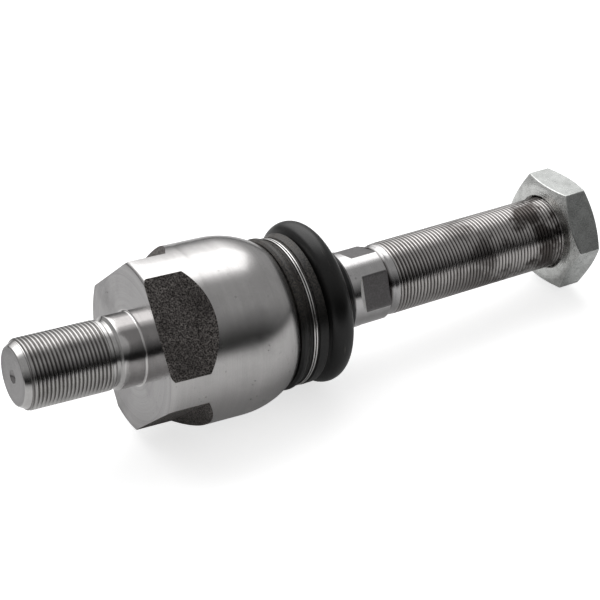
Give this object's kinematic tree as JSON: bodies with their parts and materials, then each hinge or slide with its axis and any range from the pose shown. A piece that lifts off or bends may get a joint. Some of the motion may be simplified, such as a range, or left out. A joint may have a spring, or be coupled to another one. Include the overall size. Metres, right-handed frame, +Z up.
{
  "type": "inner tie rod",
  "caption": "Steering inner tie rod: a threaded stud and round ball housing, a rubber boot with wire rings, a threaded rod with wrench flats and a hexagonal lock nut.",
  "frame": {"origin": "centre of the housing's shoulder face, at the foot of the stud's collar", "axes": "+X along the part from the stud to the lock nut, level, and +Z up, as it lies on a surface"},
  "size_m": [0.2413, 0.0666, 0.0703],
  "materials": {
    "housing_steel": "turned, flats as forged",
    "seat_plastic": "moulded",
    "rod_steel": "turned",
    "boot_rubber": "satin",
    "ring_wire": "bright drawn",
    "nut_zinc": "pale zinc plate"
  },
  "bodies": {
    "socket": {"housing": "housing_steel", "seat_cup": "seat_plastic", "seat_ring": "seat_plastic"},
    "boot_sleeve": {"boot": "boot_rubber", "boot_wire_ring": "ring_wire"},
    "boot_end": {"neck_wire_ring": "ring_wire"},
    "rod": {"ball_rod": "rod_steel"},
    "nut": {"lock_nut": "nut_zinc"}
  },
  "joints": [
    {"name": "boot_turn", "type": "hinge", "parent": "socket", "child": "boot_sleeve", "pos_m": [0.03577, 0, -0.00408], "axis": [0.9936, 0, -0.1133], "continuous": true},
    {"name": "rod_swing", "type": "hinge", "parent": "boot_sleeve", "child": "boot_end", "pos_m": [0.03577, 0, -0.00408], "axis": [0, 1, 0], "range_deg": [-17, 23], "deforming": ["boot"]},
    {"name": "rod_spin", "type": "hinge", "parent": "boot_end", "child": "rod", "pos_m": [0.03577, 0, -0.00408], "axis": [0.9981, 0, -0.0611], "continuous": true},
    {"name": "nut_run", "type": "slide", "parent": "rod", "child": "nut", "axis": [0.9981, 0, -0.0611], "range_m": [-0.069, 0]}
  ]
}
